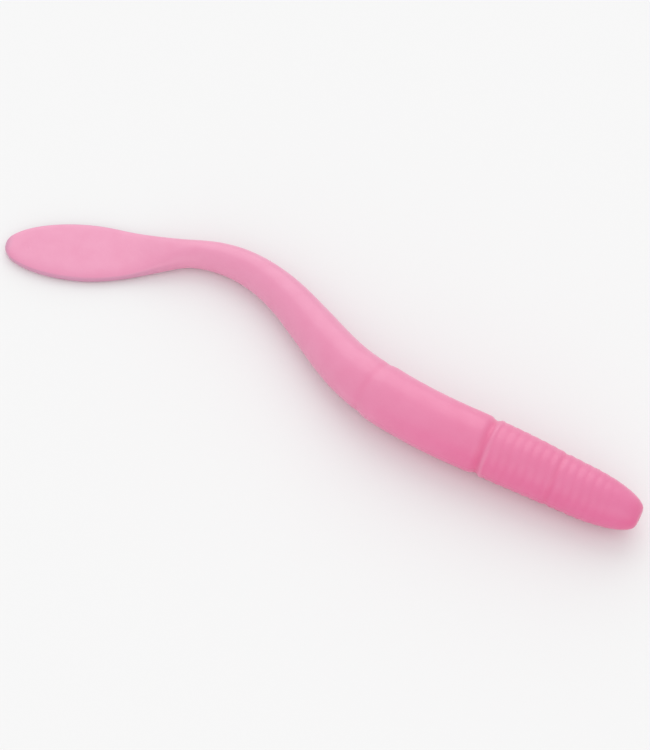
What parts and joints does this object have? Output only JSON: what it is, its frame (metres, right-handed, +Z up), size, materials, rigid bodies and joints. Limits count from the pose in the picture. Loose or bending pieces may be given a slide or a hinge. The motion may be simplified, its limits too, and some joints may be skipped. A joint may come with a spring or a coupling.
{
  "type": "soft plastic worm",
  "caption": "Soft plastic finesse worm fishing lure with a ribbed head, smooth raised saddle, tapering body, thin neck and flat paddle tail; flexes along its whole length.",
  "frame": {"origin": "centre of the small flat on the tip of the nose", "axes": "+X out of the nose along the head's centreline, +Z up from the level plane the worm lies on, with the tail towards -X"},
  "size_m": [0.1149, 0.0202, 0.0095],
  "materials": {
    "nose_plastic": "satin, slightly oily translucent soft plastic",
    "head_plastic": "satin, slightly oily translucent soft plastic",
    "saddle_plastic": "satin, slightly oily translucent soft plastic",
    "body_plastic": "satin, slightly oily translucent soft plastic",
    "neck_plastic": "satin, slightly oily translucent soft plastic",
    "paddle_plastic": "satin, slightly oily translucent soft plastic"
  },
  "bodies": {
    "nose": {"nose": "nose_plastic"},
    "head_front": {"head_front": "head_plastic"},
    "head_middle": {"head_middle": "head_plastic"},
    "head_rear": {"head_rear": "head_plastic"},
    "saddle_front": {"saddle_front": "saddle_plastic"},
    "saddle_middle": {"saddle_middle": "saddle_plastic"},
    "saddle_rear": {"saddle_rear": "saddle_plastic"},
    "body_1": {"body_1": "body_plastic"},
    "body_2": {"body_2": "body_plastic"},
    "body_3": {"body_3": "body_plastic"},
    "body_4": {"body_4": "body_plastic"},
    "body_5": {"body_5": "body_plastic"},
    "body_6": {"body_6": "body_plastic"},
    "body_7": {"body_7": "body_plastic"},
    "neck_front": {"neck_front": "neck_plastic"},
    "neck_rear": {"neck_rear": "neck_plastic"},
    "paddle_root": {"paddle_root": "paddle_plastic"},
    "paddle_front": {"paddle_front": "paddle_plastic"},
    "paddle_middle": {"paddle_middle": "paddle_plastic"},
    "paddle_tip": {"paddle_tip": "paddle_plastic"}
  },
  "joints": [
    {"name": "head_front_yaw", "type": "hinge", "parent": "nose", "child": "head_front", "pos_m": [-0.008, -0.00003, 0], "axis": [0, 0, 1], "range_deg": [-12, 12], "stiffness_Nm_per_rad": 0.0016},
    {"name": "head_middle_pitch", "type": "hinge", "parent": "head_front", "child": "head_middle", "pos_m": [-0.014, -0.00008, 0.00015], "axis": [-0.011, 0.9999, 0], "range_deg": [-12, 12], "stiffness_Nm_per_rad": 0.0028},
    {"name": "head_rear_yaw", "type": "hinge", "parent": "head_middle", "child": "head_rear", "pos_m": [-0.02, -0.00016, 0.0004], "axis": [0.0307, 0.0005, 0.9995], "range_deg": [-12, 12], "stiffness_Nm_per_rad": 0.0034},
    {"name": "saddle_front_pitch", "type": "hinge", "parent": "head_rear", "child": "saddle_front", "pos_m": [-0.026, -0.00027, 0.0005], "axis": [-0.0205, 0.9998, 0], "range_deg": [-12, 12], "stiffness_Nm_per_rad": 0.0037},
    {"name": "saddle_middle_yaw", "type": "hinge", "parent": "saddle_front", "child": "saddle_middle", "pos_m": [-0.03283, -0.0004, 0.00052], "axis": [0.0046, 0, 1], "range_deg": [-12, 12], "stiffness_Nm_per_rad": 0.0037},
    {"name": "saddle_rear_pitch", "type": "hinge", "parent": "saddle_middle", "child": "saddle_rear", "pos_m": [-0.03966, -0.00014, 0.00055], "axis": [0.0801, 0.9968, 0], "range_deg": [-12, 12], "stiffness_Nm_per_rad": 0.0037},
    {"name": "body_1_yaw", "type": "hinge", "parent": "saddle_rear", "child": "body_1", "pos_m": [-0.04642, 0.00078, 0.00054], "axis": [-0.0352, 0.0077, 0.9994], "range_deg": [-25, 25], "stiffness_Nm_per_rad": 0.0035},
    {"name": "body_2_pitch", "type": "hinge", "parent": "body_1", "child": "body_2", "pos_m": [-0.05162, 0.00234, 0.00016], "axis": [0.358, 0.9337, 0], "range_deg": [-25, 25], "stiffness_Nm_per_rad": 0.0029},
    {"name": "body_3_yaw", "type": "hinge", "parent": "body_2", "child": "body_3", "pos_m": [-0.05653, 0.00463, -0.00024], "axis": [-0.0594, 0.0308, 0.9978], "range_deg": [-25, 25], "stiffness_Nm_per_rad": 0.0022},
    {"name": "body_4_pitch", "type": "hinge", "parent": "body_3", "child": "body_4", "pos_m": [-0.06135, 0.00713, -0.00055], "axis": [0.4602, 0.8878, 0], "range_deg": [-25, 25], "stiffness_Nm_per_rad": 0.0016},
    {"name": "body_5_yaw", "type": "hinge", "parent": "body_4", "child": "body_5", "pos_m": [-0.06623, 0.00952, -0.00084], "axis": [-0.0497, 0.0212, 0.9985], "range_deg": [-25, 25], "stiffness_Nm_per_rad": 0.0012},
    {"name": "body_6_pitch", "type": "hinge", "parent": "body_5", "child": "body_6", "pos_m": [-0.07134, 0.01133, -0.00114], "axis": [0.2736, 0.9619, 0], "range_deg": [-25, 25], "stiffness_Nm_per_rad": 0.00081},
    {"name": "body_7_yaw", "type": "hinge", "parent": "body_6", "child": "body_7", "pos_m": [-0.07668, 0.0122, -0.00143], "axis": [-0.054, 0.0019, 0.9985], "range_deg": [-25, 25], "stiffness_Nm_per_rad": 0.00054},
    {"name": "neck_front_pitch", "type": "hinge", "parent": "body_7", "child": "neck_front", "pos_m": [-0.08208, 0.01171, -0.00173], "axis": [-0.2129, 0.9771, 0], "range_deg": [-30, 30], "stiffness_Nm_per_rad": 0.00045},
    {"name": "neck_rear_twist", "type": "hinge", "parent": "neck_front", "child": "neck_rear", "pos_m": [-0.08528, 0.01075, -0.00191], "axis": [0.9314, 0.3599, 0.054], "range_deg": [-40, 40], "stiffness_Nm_per_rad": 0.0003},
    {"name": "paddle_root_yaw", "type": "hinge", "parent": "neck_rear", "child": "paddle_root", "pos_m": [-0.08832, 0.00934, -0.0022], "axis": [-0.0906, -0.0452, 0.9949], "range_deg": [-25, 25], "stiffness_Nm_per_rad": 0.00044},
    {"name": "paddle_front_pitch", "type": "hinge", "parent": "paddle_root", "child": "paddle_front", "pos_m": [-0.09396, 0.00661, -0.00307], "axis": [-0.4227, 0.9062, 0], "range_deg": [-30, 30], "stiffness_Nm_per_rad": 0.000065},
    {"name": "paddle_middle_pitch", "type": "hinge", "parent": "paddle_front", "child": "paddle_middle", "pos_m": [-0.09968, 0.00404, -0.00335], "axis": [-0.3988, 0.917, 0], "range_deg": [-30, 30], "stiffness_Nm_per_rad": 0.000043},
    {"name": "paddle_tip_pitch", "type": "hinge", "parent": "paddle_middle", "child": "paddle_tip", "pos_m": [-0.10545, 0.00162, -0.00335], "axis": [-0.3746, 0.9272, 0], "range_deg": [-30, 30], "stiffness_Nm_per_rad": 0.000032}
  ],
  "couplings": [
    {"joint": "head_rear_yaw", "follows": "head_front_yaw", "ratio": 1},
    {"joint": "saddle_middle_yaw", "follows": "head_front_yaw", "ratio": 1},
    {"joint": "saddle_front_pitch", "follows": "head_middle_pitch", "ratio": 1},
    {"joint": "saddle_rear_pitch", "follows": "head_middle_pitch", "ratio": 1},
    {"joint": "body_3_yaw", "follows": "body_1_yaw", "ratio": 1},
    {"joint": "body_5_yaw", "follows": "body_1_yaw", "ratio": 1},
    {"joint": "body_7_yaw", "follows": "body_1_yaw", "ratio": 1},
    {"joint": "body_4_pitch", "follows": "body_2_pitch", "ratio": 1},
    {"joint": "body_6_pitch", "follows": "body_2_pitch", "ratio": 1},
    {"joint": "paddle_front_pitch", "follows": "neck_front_pitch", "ratio": 1},
    {"joint": "paddle_middle_pitch", "follows": "neck_front_pitch", "ratio": 1},
    {"joint": "paddle_tip_pitch", "follows": "neck_front_pitch", "ratio": 1}
  ]
}
